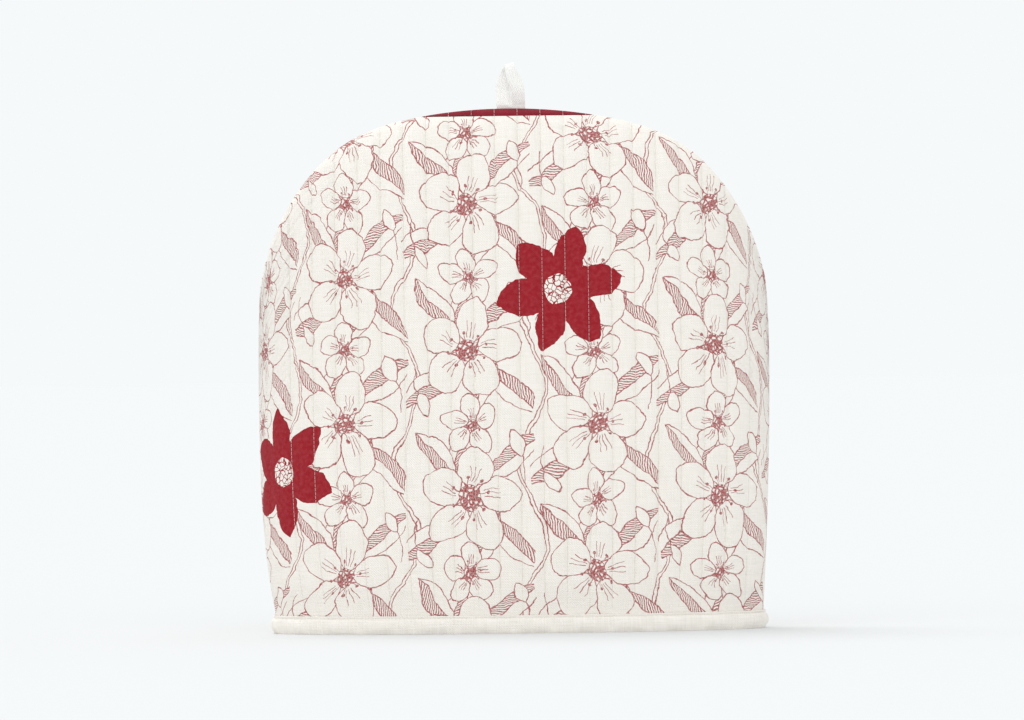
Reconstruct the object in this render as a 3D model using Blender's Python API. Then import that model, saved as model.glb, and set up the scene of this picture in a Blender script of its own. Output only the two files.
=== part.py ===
# A quilted tea cosy standing open on its hem. The front and the back are two padded,
# channel-quilted panels that meet in a seam round the dome and down both sides. A strip of
# another cloth is pieced along the front's top edge, a binding folds round the hem, and a
# tape loop is caught in the crest seam behind the strip.
# Metres, +Z up, the front towards -Y, the origin on the surface under the middle.

import bmesh
import bpy
import numpy as np

MM = 0.001
GAP = 0.3 * MM  # left between neighbouring pieces

# Outline seen from the front
CREST_Z = 345 * MM
BELLY_Z = 203 * MM  # where the straight sides run into the dome
BELLY_HALF_WIDTH = 169 * MM
DOME_RISE = 165 * MM  # of the dome's ellipse above the belly, before the crown cuts it flatter
CROWN_RADIUS = 397 * MM  # of the flat arc along the crest
CROWN_OFFSET = -3.5 * MM  # the arc's middle stands a little left of the cosy's
SHOULDER_BLEND = 15 * MM  # softens the meeting of the dome and the crown arc
LEFT_DRAW_IN = 9.5 * MM  # how far each side pulls in at the hem
LEFT_DRAW_POWER = 4.0  # and how soon above the hem it lets go
RIGHT_DRAW_IN = 6.2 * MM
RIGHT_DRAW_POWER = 2.0

# Section from front to back
HALF_DEPTH = 60 * MM
HEIGHT_POWER = 1.25  # powers of the rounded section: height by cosine, depth by sine
DEPTH_POWER = 1.1
PLAN_POWER = 2.4  # fullness of the oval seen from above

# Padded cloth
WALL = 5 * MM  # two cloths and the wadding
WALL_AT_HEM = 3.5 * MM  # pressed flat inside the binding
SEAM_WALL = 8 * MM  # width of the seam along the crest and sides, allowances and wadding
WADDING_RISE = 40 * MM  # height over which the wall swells to its full thickness
CHANNEL = 15.1 * MM  # between the vertical rows of stitching
FIRST_LINE = 4 * MM  # one row of stitching stands this far right of the middle
PUFF = 1.3 * MM  # how far the cloth stands out between two rows
PUFF_FADE_AT_SEAM = 9 * MM
PUFF_FADE_AT_HEM = 22 * MM
PUFF_FADE_AT_CREST = 0.22  # in radians of the section's angle
# Broad unevenness of the standing cloth: height in metres, waves across and up, phase
WAVES = (
    (0.9 * MM, 1.3, 0.7, 0.4),
    (0.6 * MM, 2.9, 1.6, 2.1),
    (0.4 * MM, 4.7, 2.3, 4.0),
)

# Mesh steps
STEPS_PER_CHANNEL = 3
SIDE_STEPS = 5  # from the last row of stitching to the side seam
ROWS = 14
CHANNELLED_SHARE = 0.93  # of the half width that the even steps cover
FIRST_ROW_ANGLE = 0.05

# Crown strip
STRIP_HEIGHT = 5.6 * MM  # at the middle, under the crest
STRIP_END_HEIGHT = 0.8 * MM  # where its ends are turned under
STRIP_ROWS = 4
CREST_SAMPLES = 1201  # along the crest, to find where the strip ends

# Hem binding
BINDING_HEIGHT = 13 * MM
BINDING_CLOTH = 1.2 * MM
BINDING_FLOOR = 1.5 * MM  # thickness under the panels' lower edges
BINDING_PUFF = 0.6 * MM
BINDING_RIPPLE = 0.35 * MM
BINDING_RIPPLES = 34  # round the whole hem, about 24 mm apart

# Hanging loop of cotton tape
TAPE_WIDTH = 9.4 * MM
TAPE_THICKNESS = 1.2 * MM
LOOP_RISE = 30 * MM  # above the crest
LOOP_BOW = 5.5 * MM  # how far each leg swings out in front of and behind the seam
LOOP_NECK = 2 * MM  # straight tape above the crest before the legs part
LEG_OFFSET = 5.1 * MM  # of each leg's middle from the loop's middle
LEAN_START = 0.45  # share of the way to the tip where the legs begin to lean together
ROOT_DEPTH = 5.4 * MM  # of tape inside the seam
LOOP_Y = 0.45 * MM + TAPE_THICKNESS / 2
LOOP_STATIONS = 30
ROOT_STATIONS = 4

PANEL_FOOT = BINDING_FLOOR + GAP  # the panels' lower edge
PRESSED_TOP = BINDING_HEIGHT + 1.5 * MM  # the panels are plain and upright below this
STRIP_SEAM_Z = CREST_Z - STRIP_HEIGHT
# The blend takes a little off the arc's top, so the arc starts that much higher
CROWN_TOP = CREST_Z + SHOULDER_BLEND**2 / (4 * (BELLY_Z + DOME_RISE - CREST_Z))


def clear_scene():
    for old in list(bpy.data.objects):
        bpy.data.objects.remove(old, do_unlink=True)


def smooth_rise(t):
    # 0 below 0, 1 above 1, and a smooth S between
    t = np.clip(t, 0, 1)
    return t * t * (3 - 2 * t)


def crest_height(s, inset):
    # Height of the outline over the share s of the half width, inset from the outer outline:
    # the lower of the dome's ellipse and the crown's arc, blended at the shoulders.
    x = s * (BELLY_HALF_WIDTH - inset)
    dome = BELLY_Z + (DOME_RISE - inset) * np.sqrt(np.clip(1 - s * s, 0, 1))
    crown = CROWN_TOP - inset - CROWN_RADIUS + np.sqrt(CROWN_RADIUS**2 - (x - CROWN_OFFSET) ** 2)
    return 0.5 * (dome + crown - np.sqrt((dome - crown) ** 2 + SHOULDER_BLEND**2))


def half_width(z, s):
    # The straight sides: full at the belly and drawn in towards the hem, more on the left
    t = np.clip((BELLY_Z - z) / (BELLY_Z - PRESSED_TOP), 0, 1)
    left = LEFT_DRAW_IN * t**LEFT_DRAW_POWER
    right = RIGHT_DRAW_IN * t**RIGHT_DRAW_POWER
    return BELLY_HALF_WIDTH - np.where(s < 0, left, right)


def shell_point(s, angle, inset=0.0):
    # x, distance from the seam plane and z of a smooth panel: s is the share of the half width,
    # angle runs from 0 at the crest to a right angle at the binding. inset is 0 for the
    # outside and the seam's width for the inside.
    top = crest_height(s, inset)
    z = PRESSED_TOP + (top - PRESSED_TOP) * np.cos(angle) ** HEIGHT_POWER
    swell = smooth_rise((z - PRESSED_TOP) / WADDING_RISE)
    seam = 0.0 * z
    wall = 0.0 * z
    if inset:
        seam = WALL_AT_HEM + (inset - WALL_AT_HEM) * swell
        wall = WALL_AT_HEM + (WALL - WALL_AT_HEM) * swell
    x = s * (half_width(z, s) - seam)
    oval = np.sqrt(np.clip(1 - np.abs(s) ** PLAN_POWER, 0, 1))
    depth = (HALF_DEPTH - wall) * np.sin(angle) ** DEPTH_POWER * oval
    return x, depth, z


def puff_height(s, angle, z, side):
    # The quilting: a low crown between each two rows of stitching and a broad unevenness,
    # both dying out at the seams, the crest and the binding.
    u = (s * BELLY_HALF_WIDTH - FIRST_LINE) / CHANNEL
    across = 2 * (u - np.floor(u)) - 1
    crown = PUFF * (1 - across**2)
    broad = 0.0 * s
    for height, waves_x, waves_z, phase in WAVES:
        broad = broad + height * np.sin(
            2 * np.pi * (waves_x * s / 2 + waves_z * z / CREST_Z) + phase + side
        )
    fade = smooth_rise((1 - np.abs(s)) * BELLY_HALF_WIDTH / PUFF_FADE_AT_SEAM)
    fade = fade * smooth_rise((z - PRESSED_TOP) / PUFF_FADE_AT_HEM)
    fade = fade * smooth_rise(angle / PUFF_FADE_AT_CREST)
    return fade * (crown + broad)


def outer_point(s, angle, side):
    # The quilted outside of the front (side -1) or the back (side 1)
    x, depth, z = shell_point(s, angle)
    depth = depth + puff_height(s, angle, z, side)
    return np.stack([x, side * (GAP / 2 + depth), z], axis=-1)


def inner_point(s, angle, side):
    x, depth, z = shell_point(s, angle, SEAM_WALL)
    return np.stack([x, side * (GAP / 2 + depth), z], axis=-1)


def columns():
    # Shares of the half width: even steps between the rows of stitching, then equal angles
    # to each side seam. Also which of them the plain inside uses.
    reach = CHANNELLED_SHARE * BELLY_HALF_WIDTH
    first = int(np.ceil((-reach - FIRST_LINE) / CHANNEL))
    last = int(np.floor((reach - FIRST_LINE) / CHANNEL))
    steps = STEPS_PER_CHANNEL * (last - first)
    middle = (FIRST_LINE + CHANNEL * np.linspace(first, last, steps + 1)) / BELLY_HALF_WIDTH
    left = np.sin(np.linspace(-np.pi / 2, np.arcsin(middle[0]), SIDE_STEPS + 1))
    right = np.sin(np.linspace(np.arcsin(middle[-1]), np.pi / 2, SIDE_STEPS + 1))
    s = np.concatenate([left[:-1], middle, right[1:]])
    plain = list(range(SIDE_STEPS))
    plain += range(SIDE_STEPS, SIDE_STEPS + steps + 1, STEPS_PER_CHANNEL)
    plain += range(SIDE_STEPS + steps + 1, len(s))
    return s, plain


def angle_at_height(s, z):
    # The section's angle where the outside reaches height z, or 0 where the crest is lower
    share = (z - PRESSED_TOP) / (crest_height(s, 0.0) - PRESSED_TOP)
    return np.arccos(np.clip(share, 0, 1) ** (1 / HEIGHT_POWER))


def add_object(name, points, faces, colour, roughness):
    mesh = bpy.data.meshes.new(name)
    mesh.from_pydata([tuple(p) for p in points], [], faces)
    shape = bmesh.new()
    shape.from_mesh(mesh)
    bmesh.ops.triangulate(shape, faces=shape.faces)
    bmesh.ops.recalc_face_normals(shape, faces=shape.faces)
    if shape.calc_volume(signed=True) < 0:
        bmesh.ops.reverse_faces(shape, faces=shape.faces)
    shape.to_mesh(mesh)
    shape.free()
    mesh.shade_smooth()
    mesh.set_sharp_from_angle(angle=np.radians(40))
    piece = bpy.data.objects.new(name, mesh)
    bpy.context.collection.objects.link(piece)
    mesh.materials.append(cloth_material(name, colour, roughness))
    return piece


def cloth_material(name, colour, roughness):
    material = bpy.data.materials.new(name)
    material.use_nodes = True
    shader = material.node_tree.nodes["Principled BSDF"]
    shader.inputs["Base Color"].default_value = (*colour, 1.0)
    shader.inputs["Roughness"].default_value = roughness
    shader.inputs["Metallic"].default_value = 0.0
    return material


def quads(grid):
    # Faces between the neighbours of a grid of point numbers
    a, b, c, d = grid[:-1, :-1], grid[:-1, 1:], grid[1:, 1:], grid[1:, :-1]
    return np.stack([a, b, c, d], axis=-1).reshape(-1, 4).tolist()


def zip_rows(fine, coarse, plain):
    # Faces between a row with every column and a row with only the plain ones
    faces = []
    for k in range(len(plain) - 1):
        run = fine[plain[k] : plain[k + 1] + 1].tolist()
        faces.append(run + [int(coarse[k + 1]), int(coarse[k])])
    return faces


def panel(name, side, top_z, colour):
    # One padded panel. Its outside and inside are grids of the same rows, joined by the flat
    # seam faces along the crest and the sides and by the lower edge. Where the crest is above
    # top_z the panel ends level there, for the strip that is sewn on.
    s, plain = columns()
    start = np.maximum(angle_at_height(s, top_z), FIRST_ROW_ANGLE)
    share = np.linspace(0, 1, ROWS)[:, None]
    angle = start + share * (np.pi / 2 - start)
    crest_row = outer_point(s, 0.0 * s, side)
    crest_row[:, 2] = np.minimum(crest_row[:, 2], top_z)
    rows = outer_point(np.broadcast_to(s, angle.shape), angle, side)
    foot = rows[-1] * (1, 1, 0) + (0, 0, PANEL_FOOT)
    outside = np.concatenate([crest_row[None], rows, foot[None]])

    t = s[plain]
    inner_angle = np.concatenate([0.0 * t[None], angle[:, plain]])
    inner_rows = inner_point(np.broadcast_to(t, inner_angle.shape), inner_angle, side)
    inner_foot = inner_rows[-1] * (1, 1, 0) + (0, 0, PANEL_FOOT)
    inside = np.concatenate([inner_rows, inner_foot[None]])

    outer_grid = np.arange(outside[..., 0].size).reshape(outside.shape[:2])
    inner_grid = outer_grid.size + np.arange(inside[..., 0].size).reshape(inside.shape[:2])
    faces = quads(outer_grid) + quads(inner_grid)
    faces += zip_rows(outer_grid[0], inner_grid[0], plain)
    faces += zip_rows(outer_grid[-1], inner_grid[-1], plain)
    for end in (0, -1):
        faces += quads(np.stack([outer_grid[:, end], inner_grid[:, end]]))
    points = np.concatenate([outside.reshape(-1, 3), inside.reshape(-1, 3)])
    return add_object(name, points, faces, colour, 0.9)


def crown_strip():
    # The pieced strip: a long low lens over the crest, level below where it is seamed to the
    # front panel and flat behind where it meets the crest seam. It ends on both sides where
    # the crest comes down to its turned ends.
    seam_z = STRIP_SEAM_Z + GAP / 2
    across = np.linspace(-1, 1, CREST_SAMPLES)
    tall = across[crest_height(across, 0.0) > seam_z + STRIP_END_HEIGHT]
    steps = int(STEPS_PER_CHANNEL * (tall[-1] - tall[0]) * BELLY_HALF_WIDTH / CHANNEL)
    s = np.linspace(tall[0], tall[-1], steps + 1)
    share = np.linspace(0, 1, STRIP_ROWS + 1)[:, None]
    angle = share * angle_at_height(s, seam_z)
    rows = outer_point(np.broadcast_to(s, angle.shape), angle, -1)
    back_edge = rows[0] * (1, 1, 0) + (0, 0, seam_z)
    points = np.concatenate([rows, back_edge[None]])
    ring = np.arange(points[..., 0].size).reshape(points.shape[:2])
    faces = quads(np.concatenate([ring, ring[:1]]))
    faces += [ring[:, 0].tolist(), ring[:, -1].tolist()]
    return add_object("crown_strip", points.reshape(-1, 3), faces, (0.30, 0.035, 0.045), 0.85)


def hem_curve(inset):
    # The closed curve of the panels' lower edge seen from above, front then back, with its
    # outward unit normals. The inside runs straight between its plain columns.
    s, plain = columns()
    angle = np.full_like(s, np.pi / 2)
    x, depth, _ = shell_point(s, angle, inset)
    if inset:
        x = np.interp(s, s[plain], x[plain])
        depth = np.interp(s, s[plain], depth[plain])
    front = np.stack([x, -(GAP / 2 + depth)], axis=-1)
    back = np.stack([x, GAP / 2 + depth], axis=-1)[::-1]
    curve = np.concatenate([front, back])
    ahead = np.roll(curve, -1, axis=0) - curve
    ahead /= np.linalg.norm(ahead, axis=1, keepdims=True)
    along = ahead + np.roll(ahead, 1, axis=0)
    along /= np.linalg.norm(along, axis=1, keepdims=True)
    return curve, np.stack([along[:, 1], -along[:, 0]], axis=-1)


def hem_binding():
    # A U of cloth swept round the hem. Each row of the table is one corner of the U: which
    # edge of the panels it follows, how far off it, its height and its share of the ripple.
    clear = GAP
    face = GAP + BINDING_CLOTH
    puffed = face + BINDING_PUFF
    top, shoulder, low = BINDING_HEIGHT, BINDING_HEIGHT - 1 * MM, 3.5 * MM
    section = (
        ("outer", clear, top, 0.0),
        ("outer", face - 0.3 * MM, top - 0.2 * MM, 0.0),
        ("outer", puffed, shoulder - 3 * MM, 1.0),
        ("outer", puffed, low, 1.0),
        ("outer", face - 0.4 * MM, 0.0, 0.0),
        ("inner", face - 0.4 * MM, 0.0, 0.0),
        ("inner", puffed, low + 1 * MM, 0.0),
        ("inner", face - 0.3 * MM, top - 0.2 * MM, 0.0),
        ("inner", clear, top, 0.0),
        ("inner", clear, BINDING_FLOOR, 0.0),
        ("outer", clear, BINDING_FLOOR, 0.0),
    )
    curves = {"outer": hem_curve(0.0), "inner": hem_curve(SEAM_WALL)}
    away = {"outer": 1, "inner": -1}
    curve, _ = curves["outer"]
    turn = 2 * np.pi * np.arange(len(curve)) / len(curve)
    ripple = BINDING_RIPPLE * np.sin(BINDING_RIPPLES * turn + 0.7 * np.sin(5 * turn))
    rings = []
    for edge, offset, z, rippled in section:
        curve, normal = curves[edge]
        reach = away[edge] * (offset + rippled * ripple)
        ring = curve + normal * reach[:, None]
        rings.append(np.column_stack([ring, np.full(len(ring), z)]))
    points = np.stack(rings)
    grid = np.arange(points[..., 0].size).reshape(points.shape[:2])
    grid = np.concatenate([grid, grid[:1]])
    grid = np.concatenate([grid, grid[:, :1]], axis=1)
    return add_object("hem_binding", points.reshape(-1, 3), quads(grid), (0.84, 0.82, 0.77), 0.9)


def loop_path():
    # Middle line of the tape. The left leg rises behind the seam, the tape turns over at the
    # tip and the right leg comes down in front of it. Seen from the side it is a drop shape;
    # seen from the front the legs stand side by side and lean together towards the tip.
    tip_z = CREST_Z + LOOP_RISE - TAPE_THICKNESS / 2
    neck_z = CREST_Z + LOOP_NECK
    turn = np.linspace(0, 2 * np.pi, LOOP_STATIONS + 1)
    z = neck_z + (tip_z - neck_z) * (1 - np.cos(turn)) / 2
    y = LOOP_Y + LOOP_BOW * np.sin(turn) * np.sin(turn / 2)
    rise = 1 - np.abs(turn / np.pi - 1)
    lean = smooth_rise((rise - LEAN_START) / (1 - LEAN_START))
    x = LEG_OFFSET * np.sign(turn - np.pi) * (1 - lean)
    drop = np.column_stack([x, y, z])
    root_z = np.linspace(CREST_Z - ROOT_DEPTH, neck_z, ROOT_STATIONS, endpoint=False)
    left = np.column_stack([np.full(ROOT_STATIONS, x[0]), np.full(ROOT_STATIONS, LOOP_Y), root_z])
    right = left[::-1] * (-1, 1, 1)
    return np.concatenate([left, drop, right])


def hanging_loop():
    # Flat tape along the path: its width stays as near to the X axis as the path lets it
    path = loop_path()
    along = np.gradient(path, axis=0)
    along /= np.linalg.norm(along, axis=1, keepdims=True)
    width = np.array([1.0, 0.0, 0.0]) - along * along[:, :1]
    width /= np.linalg.norm(width, axis=1, keepdims=True)
    normal = np.cross(along, width)
    corners = ((-1, -1), (1, -1), (1, 1), (-1, 1))
    rings = []
    for across, out in corners:
        shift = width * across * TAPE_WIDTH / 2 + normal * out * TAPE_THICKNESS / 2
        rings.append(path + shift)
    points = np.stack(rings)
    grid = np.arange(points[..., 0].size).reshape(points.shape[:2])
    faces = quads(np.concatenate([grid, grid[:1]]))
    faces += [grid[:, 0].tolist(), grid[:, -1].tolist()]
    return add_object("hanging_loop", points.reshape(-1, 3), faces, (0.88, 0.87, 0.84), 0.85)


def cut_loop_pocket(back):
    # The pocket in the crest seam that holds the ends of the tape
    half_x = LEG_OFFSET + TAPE_WIDTH / 2 + 0.5 * MM
    back_y = LOOP_Y + TAPE_THICKNESS / 2 + GAP
    low_z = CREST_Z - ROOT_DEPTH - GAP
    high_z = CREST_Z + 5 * MM
    front_y = -1 * MM
    bpy.ops.mesh.primitive_cube_add(size=1)
    cutter = bpy.context.active_object
    cutter.name = "pocket_cutter"
    cutter.scale = (2 * half_x, back_y - front_y, high_z - low_z)
    cutter.location = (0, (back_y + front_y) / 2, (high_z + low_z) / 2)
    cutter.hide_render = True
    cutter.display_type = "WIRE"
    cut = back.modifiers.new("loop pocket", "BOOLEAN")
    cut.operation = "DIFFERENCE"
    cut.object = cutter


clear_scene()
PRINTED_CLOTH = (0.77, 0.63, 0.60)
panel("front_panel", -1, STRIP_SEAM_Z - GAP / 2, PRINTED_CLOTH)
back_panel = panel("back_panel", 1, CREST_Z + GAP, PRINTED_CLOTH)
crown_strip()
hem_binding()
hanging_loop()
cut_loop_pocket(back_panel)
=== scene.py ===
from functools import partial

import bmesh
import bpy
import numpy as np
from mathutils import Matrix, Vector


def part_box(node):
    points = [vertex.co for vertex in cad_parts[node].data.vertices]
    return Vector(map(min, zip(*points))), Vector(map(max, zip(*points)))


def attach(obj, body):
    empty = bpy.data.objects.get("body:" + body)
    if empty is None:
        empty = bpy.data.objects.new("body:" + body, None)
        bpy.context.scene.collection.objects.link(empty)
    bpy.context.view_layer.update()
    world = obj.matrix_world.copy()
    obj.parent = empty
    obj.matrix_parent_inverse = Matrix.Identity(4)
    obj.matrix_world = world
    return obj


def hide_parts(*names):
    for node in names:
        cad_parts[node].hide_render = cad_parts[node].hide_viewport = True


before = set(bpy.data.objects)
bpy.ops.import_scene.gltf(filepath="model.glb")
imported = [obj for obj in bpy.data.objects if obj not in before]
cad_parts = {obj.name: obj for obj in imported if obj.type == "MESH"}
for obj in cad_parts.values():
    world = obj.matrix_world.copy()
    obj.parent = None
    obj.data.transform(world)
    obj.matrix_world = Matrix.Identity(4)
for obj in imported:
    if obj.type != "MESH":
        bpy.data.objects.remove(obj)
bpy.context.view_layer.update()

mm = 0.001

# The outline and section of the cosy, taken from the boxes of its solids
backLow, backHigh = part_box("back_panel")
frontLow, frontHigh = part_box("front_panel")
hemLow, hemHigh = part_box("hem_binding")
loopLow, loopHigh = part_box("hanging_loop")
cosy = {
    "halfWidth": (backHigh.x - backLow.x) / 2,
    "crest": backHigh.z,
    "seamHeight": frontHigh.z,  # where the front panel ends and the crown strip begins
    "foot": frontLow.z,  # the panels' lower edge, inside the binding
    "bindingTop": hemHigh.z,
    "halfDepth": (hemHigh.y - hemLow.y) / 2 - 2.6 * mm,  # less the binding outside the panels
    "belly": 203 * mm,  # height where the straight sides run into the dome
    "domeRise": 165 * mm,
    "crownRadius": 397 * mm,
    "crownOffset": -3.5 * mm,  # the crest's arc stands a little left of the middle
    "shoulderBlend": 15 * mm,  # how far the dome and the crest's arc run into each other
    "drawIn": (9.5 * mm, 6.2 * mm),  # left and right side at the hem
    "drawPower": (4.0, 2.0),  # left and right; the higher, the nearer the hem it starts
    "heightPower": 1.25,  # how the height falls along the section
    "depthPower": 1.1,  # how full the section is
    "planPower": 2.4,  # how full the oval seen from above is; 2 is an ellipse
    "gap": 0.3 * mm,  # between two pieces that lie on each other
}
cosy["pressedTop"] = cosy["bindingTop"] + 1.5 * mm
# the blended shoulders take a little off the arc's top, so the arc starts that much higher
overCrest = cosy["belly"] + cosy["domeRise"] - cosy["crest"]
cosy["crownTop"] = cosy["crest"] + cosy["shoulderBlend"] ** 2 / (4 * overCrest)

quilting = {
    "channel": 15.1 * mm,  # between two rows of stitching
    "firstLine": 4 * mm,  # from the middle to the nearest row
    "puff": 1.35 * mm,  # height of the cloth between two rows
    "groove": 0.28 * mm,  # extra depth of the thread's own furrow
    "grooveWidth": 0.9 * mm,
    "pucker": 0.26 * mm,  # small creases that run out from the rows
    "puckerReach": 3.2 * mm,
    "wall": 5 * mm,  # thickness of cloth and wadding
    "wallAtHem": 3.5 * mm,
    "seamWall": 8 * mm,  # width of the seam at the sides and the crest
    "waddingRise": 40 * mm,  # height over which the pressed hem swells to its full thickness
    "seamTuck": 1.1 * mm,  # how deep the cloth dips into a seam
    "seamTuckWidth": 1.6 * mm,
    # broad waves and fine creases: height, waves across, waves up and phase
    "waves": ((0.9 * mm, 1.3, 0.7, 0.4), (0.6 * mm, 2.9, 1.6, 2.1), (0.4 * mm, 4.7, 2.3, 4.0)),
    "creases": ((0.16 * mm, 13.0, 5.1, 0.6), (0.12 * mm, 21.0, 11.3, 2.9), (0.09 * mm, 9.0, 17.7, 5.2)),
}
panelGrid = {
    "stepsPerChannel": 12,
    "sideSteps": 24,
    "rows": 190,
    "insideEvery": 4,  # the inside uses every fourth column
    "crestPower": 1.4,  # how much closer the rows stand at the crest
}


def smoothRise(t):
    # 0 below 0, 1 above 1, a smooth S between
    t = np.clip(t, 0, 1)
    return t * t * (3 - 2 * t)


def crestHeight(s, inset=0.0):
    # the lower of the dome's ellipse and the crown's arc over the share s of the half width
    x = s * (cosy["halfWidth"] - inset)
    dome = cosy["belly"] + (cosy["domeRise"] - inset) * np.sqrt(np.clip(1 - s * s, 0, 1))
    radius = cosy["crownRadius"]
    crown = cosy["crownTop"] - inset - radius + np.sqrt(radius**2 - (x - cosy["crownOffset"]) ** 2)
    return 0.5 * (dome + crown - np.sqrt((dome - crown) ** 2 + cosy["shoulderBlend"] ** 2))


def halfWidthAt(z, s):
    # full at the belly, drawn in by a power of the distance below it
    t = np.clip((cosy["belly"] - z) / (cosy["belly"] - cosy["pressedTop"]), 0, 1)
    left = cosy["drawIn"][0] * t ** cosy["drawPower"][0]
    right = cosy["drawIn"][1] * t ** cosy["drawPower"][1]
    return cosy["halfWidth"] - np.where(s < 0, left, right)


def shellPoint(s, q, inset=0.0):
    # x, distance from the seam plane and z of the smooth cloth: z falls evenly with q from the
    # crest at 0 to the binding at 1, the depth is a power of the sine of the section's angle
    # times the oval of the plan
    top = crestHeight(s, inset)
    z = top - (top - cosy["pressedTop"]) * q
    sine = np.sqrt(np.clip(1 - np.clip(1 - q, 0, 1) ** (2 / cosy["heightPower"]), 0, 1))
    swell = smoothRise((z - cosy["pressedTop"]) / quilting["waddingRise"])
    seam = (quilting["wallAtHem"] + (inset - quilting["wallAtHem"]) * swell) * (inset > 0)
    wall = quilting["wallAtHem"] + (quilting["wall"] - quilting["wallAtHem"]) * swell
    x = s * (halfWidthAt(z, s) - seam)
    oval = np.sqrt(np.clip(1 - np.abs(s) ** cosy["planPower"], 0, 1))
    depth = (cosy["halfDepth"] - wall * (inset > 0)) * sine ** cosy["depthPower"] * oval
    return x, depth, z


def seamDip(distance):
    # the cloth rolls down into a seam as a bell of the distance from it
    return quilting["seamTuck"] * np.exp(-((distance / quilting["seamTuckWidth"]) ** 2))


def quiltRelief(s, q, z, side):
    # height of the quilted surface over the smooth one: a full crown between two rows of
    # stitching, a furrow on each row, puckers that die away from it, broad waves and fine
    # creases, all fading at the seams, the crest and the binding
    u = (s * cosy["halfWidth"] - quilting["firstLine"]) / quilting["channel"]
    row = np.round(u)
    across = np.abs(2 * (u - np.floor(u)) - 1)
    fromRow = np.abs(u - row) * quilting["channel"]
    height = quilting["puff"] * (1 - across**2.4)
    height = height - quilting["groove"] * np.exp(-((fromRow / quilting["grooveWidth"]) ** 2))
    pucker = np.sin(z / mm / 1.05 + 9.1 * row + side) + 0.8 * np.sin(z / mm / 1.63 + 5.3 * row)
    pucker = pucker * (0.6 + 0.4 * np.sin(z / mm / 17 + 3.7 * row))
    reach = np.exp(-fromRow / quilting["puckerReach"])
    height = height + quilting["pucker"] * pucker * reach
    broad = 0.0 * z
    for size, wavesX, wavesZ, phase in quilting["waves"] + quilting["creases"]:
        bend = 1.7 * np.sin(3.1 * s + 2.3 * z / cosy["crest"] + phase)
        turn = 2 * np.pi * (wavesX * s / 2 + wavesZ * z / cosy["crest"]) + bend + side
        broad = broad + size * np.sin(turn)
    fade = smoothRise((1 - np.abs(s)) * cosy["halfWidth"] / (9 * mm))
    fade = fade * smoothRise((z - cosy["pressedTop"]) / (20 * mm))
    fade = fade * smoothRise(q / 0.012)
    return fade * (height + broad)


def outerPoint(s, q, side):
    # the quilted outside, front at side -1 and back at side 1, with the side and crest seams
    x, depth, z = shellPoint(s, q)
    depth = depth + quiltRelief(s, q, z, side)
    toSide = (1 - np.abs(s)) * cosy["halfWidth"]
    dipSide = seamDip(np.hypot(toSide, depth))
    x = x - np.sign(s) * dipSide * smoothRise((np.abs(s) - 0.9) / 0.08)
    dipCrest = seamDip(depth) * smoothRise((0.12 - q) / 0.1) * smoothRise((1 - np.abs(s)) / 0.04)
    z = z - 0.6 * dipCrest
    return np.stack([x, side * (cosy["gap"] / 2 + depth), z], axis=-1)


def panelColumns():
    # shares of the half width: even steps from row to row of stitching, then equal angles to
    # each side seam; and which of them the plain inside uses
    half = cosy["halfWidth"]
    first = np.ceil((-0.93 * half - quilting["firstLine"]) / quilting["channel"])
    last = np.floor((0.93 * half - quilting["firstLine"]) / quilting["channel"])
    steps = int(panelGrid["stepsPerChannel"] * (last - first))
    places = quilting["firstLine"] + quilting["channel"] * np.linspace(first, last, steps + 1)
    middle = places / half
    side = panelGrid["sideSteps"] + 1
    left = np.sin(np.linspace(-np.pi / 2, np.arcsin(middle[0]), side))
    right = np.sin(np.linspace(np.arcsin(middle[-1]), np.pi / 2, side))
    s = np.concatenate([left[:-1], middle, right[1:]])
    return s, np.arange(0, len(s), panelGrid["insideEvery"])


def quadFaces(grid):
    # faces between the neighbours of a grid of point numbers
    corners = [grid[:-1, :-1], grid[:-1, 1:], grid[1:, 1:], grid[1:, :-1]]
    return np.stack(corners, axis=-1).reshape(-1, 4)


def makePiece(name, points, faces, material, replaced=()):
    # a closed mesh from points and faces, all its normals turned outwards
    mesh = bpy.data.meshes.new(name)
    mesh.from_pydata(points.reshape(-1, 3).tolist(), [], [list(map(int, f)) for f in faces])
    shell = bmesh.new()
    shell.from_mesh(mesh)
    bmesh.ops.recalc_face_normals(shell, faces=shell.faces)
    if shell.calc_volume(signed=True) < 0:
        bmesh.ops.reverse_faces(shell, faces=shell.faces)
    shell.to_mesh(mesh)
    shell.free()
    mesh.shade_smooth()
    mesh.set_sharp_from_angle(angle=np.radians(50))
    mesh.materials.append(material)
    piece = bpy.data.objects.new(name, mesh)
    bpy.context.scene.collection.objects.link(piece)
    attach(piece, "root")
    if replaced:
        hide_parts(*replaced)
    return piece


def setClothCoordinates(piece, places):
    # a UV map that holds each corner's place on the flat cloth, in units of 100 mm
    mesh = piece.data
    corners = np.zeros(len(mesh.loops), int)
    mesh.loops.foreach_get("vertex_index", corners)
    layer = mesh.uv_layers.new(name="cloth")
    layer.data.foreach_set("uv", (places[corners] / 0.1).astype(np.float32).ravel())


def clothPlaces(points, middleColumn):
    # distances along the cloth: across from the middle column, up from the lowest row
    across = np.linalg.norm(np.diff(points, axis=1), axis=-1)
    u = np.concatenate([np.zeros((len(points), 1)), np.cumsum(across, axis=1)], axis=1)
    u = u - u[:, middleColumn : middleColumn + 1]
    up = np.linalg.norm(np.diff(points[::-1], axis=0), axis=-1)
    v = np.concatenate([np.zeros((1, points.shape[1])), np.cumsum(up, axis=0)])[::-1]
    return np.stack([u, v], axis=-1)


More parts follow.
